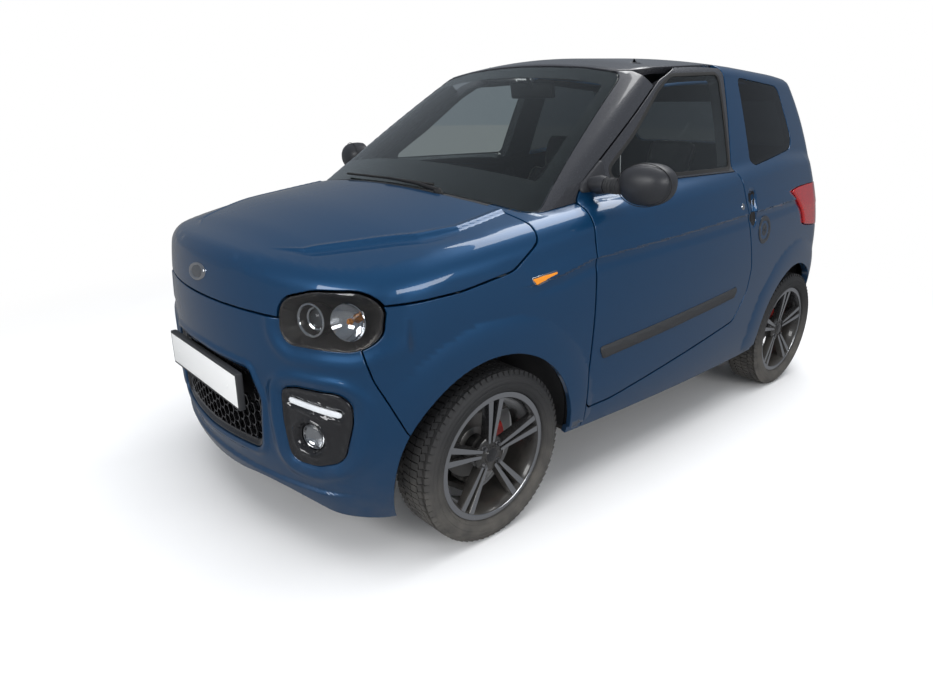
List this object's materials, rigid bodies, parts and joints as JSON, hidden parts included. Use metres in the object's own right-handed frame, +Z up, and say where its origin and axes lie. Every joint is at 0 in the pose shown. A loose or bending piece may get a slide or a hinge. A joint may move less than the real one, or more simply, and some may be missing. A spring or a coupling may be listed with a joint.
{
  "type": "microcar",
  "caption": "Short upright city car with a sloping bonnet, side doors, a top-hinged tailgate, steered front wheels and four free-turning wheels.",
  "frame": {"origin": "on the ground, under the middle of the car's length and width", "axes": "+X forward along the car, +Y to the car's left, +Z up"},
  "size_m": [3, 1.7744, 1.4708],
  "materials": {
    "paint_blue": "deep blue metallic clear coat",
    "gloss_black": "gloss dark grey film on roof and pillars",
    "pod_black": "gloss black lamp pods",
    "matte_plastic": "grained dark grey trim plastic",
    "dash_plastic": "soft dark grey dashboard plastic",
    "glass_clear": "clear safety glass",
    "glass_dark": "dark tinted glass",
    "lens_clear": "clear lamp lens",
    "lens_amber": "amber repeater lens",
    "lens_red": "red tail lamp lens",
    "lamp_bowl": "dark lamp bowl",
    "alloy": "black painted alloy with machined spoke faces",
    "tyre": "road tyre rubber",
    "steel_dark": "black chassis paint",
    "exhaust_steel": "heat-dulled steel",
    "engine_metal": "cast engine block",
    "seat_cloth": "dark woven seat cloth"
  },
  "bodies": {
    "root": {"floor_pan": "steel_dark", "side_panels": "paint_blue", "wings": "paint_blue", "front_bumper": "paint_blue", "rear_bumper": "paint_blue", "roof_panel": "gloss_black", "pillar_frames": "gloss_black", "windscreen": "glass_clear", "quarter_glass": "glass_dark", "scuttle": "matte_plastic", "headlamps": "lamp_bowl", "headlamp_lenses": "lens_clear", "grille": "matte_plastic", "lamp_pods": "pod_black", "number_plates": "matte_plastic", "side_repeaters": "lens_amber", "tail_lamps": "lens_red", "arch_liners": "matte_plastic", "engine": "engine_metal", "front_suspension": "steel_dark", "rear_suspension": "steel_dark", "exhaust": "exhaust_steel", "seat_frames": "matte_plastic", "seat_cushions": "seat_cloth", "seat_backs": "seat_cloth", "dashboard": "dash_plastic", "fuel_cap": "matte_plastic"},
    "door_left": {"door_left": "paint_blue", "door_glass_left": "glass_clear", "door_trim_left": "matte_plastic"},
    "door_right": {"door_right": "paint_blue", "door_glass_right": "glass_clear", "door_trim_right": "matte_plastic"},
    "bonnet": {"bonnet": "paint_blue"},
    "tailgate": {"tailgate": "paint_blue", "rear_window": "glass_dark"},
    "steering_wheel": {"steering_wheel": "dash_plastic"},
    "knuckle_left": {"knuckle_left": "steel_dark"},
    "knuckle_right": {"knuckle_right": "steel_dark"},
    "wheel_fl": {"rim_fl": "alloy", "tyre_fl": "tyre"},
    "wheel_fr": {"rim_fr": "alloy", "tyre_fr": "tyre"},
    "wheel_rl": {"rim_rl": "alloy", "tyre_rl": "tyre"},
    "wheel_rr": {"rim_rr": "alloy", "tyre_rr": "tyre"}
  },
  "joints": [
    {"name": "door_left_hinge", "type": "hinge", "parent": "root", "child": "door_left", "pos_m": [0.5135, 0.745, 0.6], "axis": [0, 0, -1], "range_deg": [0, 65]},
    {"name": "door_right_hinge", "type": "hinge", "parent": "root", "child": "door_right", "pos_m": [0.5135, -0.745, 0.6], "axis": [0, 0, 1], "range_deg": [0, 65]},
    {"name": "bonnet_hinge", "type": "hinge", "parent": "root", "child": "bonnet", "pos_m": [0.752, 0, 1.004], "axis": [0, -1, 0], "range_deg": [0, 50]},
    {"name": "tailgate_hinge", "type": "hinge", "parent": "root", "child": "tailgate", "pos_m": [-1.188, 0, 1.452], "axis": [0, 1, 0], "range_deg": [0, 78]},
    {"name": "steer_left", "type": "hinge", "parent": "root", "child": "knuckle_left", "pos_m": [0.914, 0.585, 0.137], "axis": [0, -0.1585, 0.9874], "range_deg": [-28, 28]},
    {"name": "steer_right", "type": "hinge", "parent": "root", "child": "knuckle_right", "pos_m": [0.914, -0.585, 0.137], "axis": [0, 0.1585, 0.9874], "range_deg": [-28, 28]},
    {"name": "steering_wheel_turn", "type": "hinge", "parent": "root", "child": "steering_wheel", "pos_m": [0.17, 0.3, 0.89], "axis": [-0.8988, 0, 0.4384], "range_deg": [-421, 421]},
    {"name": "spin_fl", "type": "hinge", "parent": "knuckle_left", "child": "wheel_fl", "pos_m": [0.914, 0.638, 0.273], "axis": [0, 1, 0], "continuous": true},
    {"name": "spin_fr", "type": "hinge", "parent": "knuckle_right", "child": "wheel_fr", "pos_m": [0.914, -0.638, 0.273], "axis": [0, 1, 0], "continuous": true},
    {"name": "spin_rl", "type": "hinge", "parent": "root", "child": "wheel_rl", "pos_m": [-1.016, 0.626, 0.273], "axis": [0, 1, 0], "continuous": true},
    {"name": "spin_rr", "type": "hinge", "parent": "root", "child": "wheel_rr", "pos_m": [-1.016, -0.626, 0.273], "axis": [0, 1, 0], "continuous": true}
  ],
  "couplings": [
    {"joint": "steer_right", "follows": "steer_left", "ratio": 1},
    {"joint": "steering_wheel_turn", "follows": "steer_left", "ratio": 15}
  ]
}
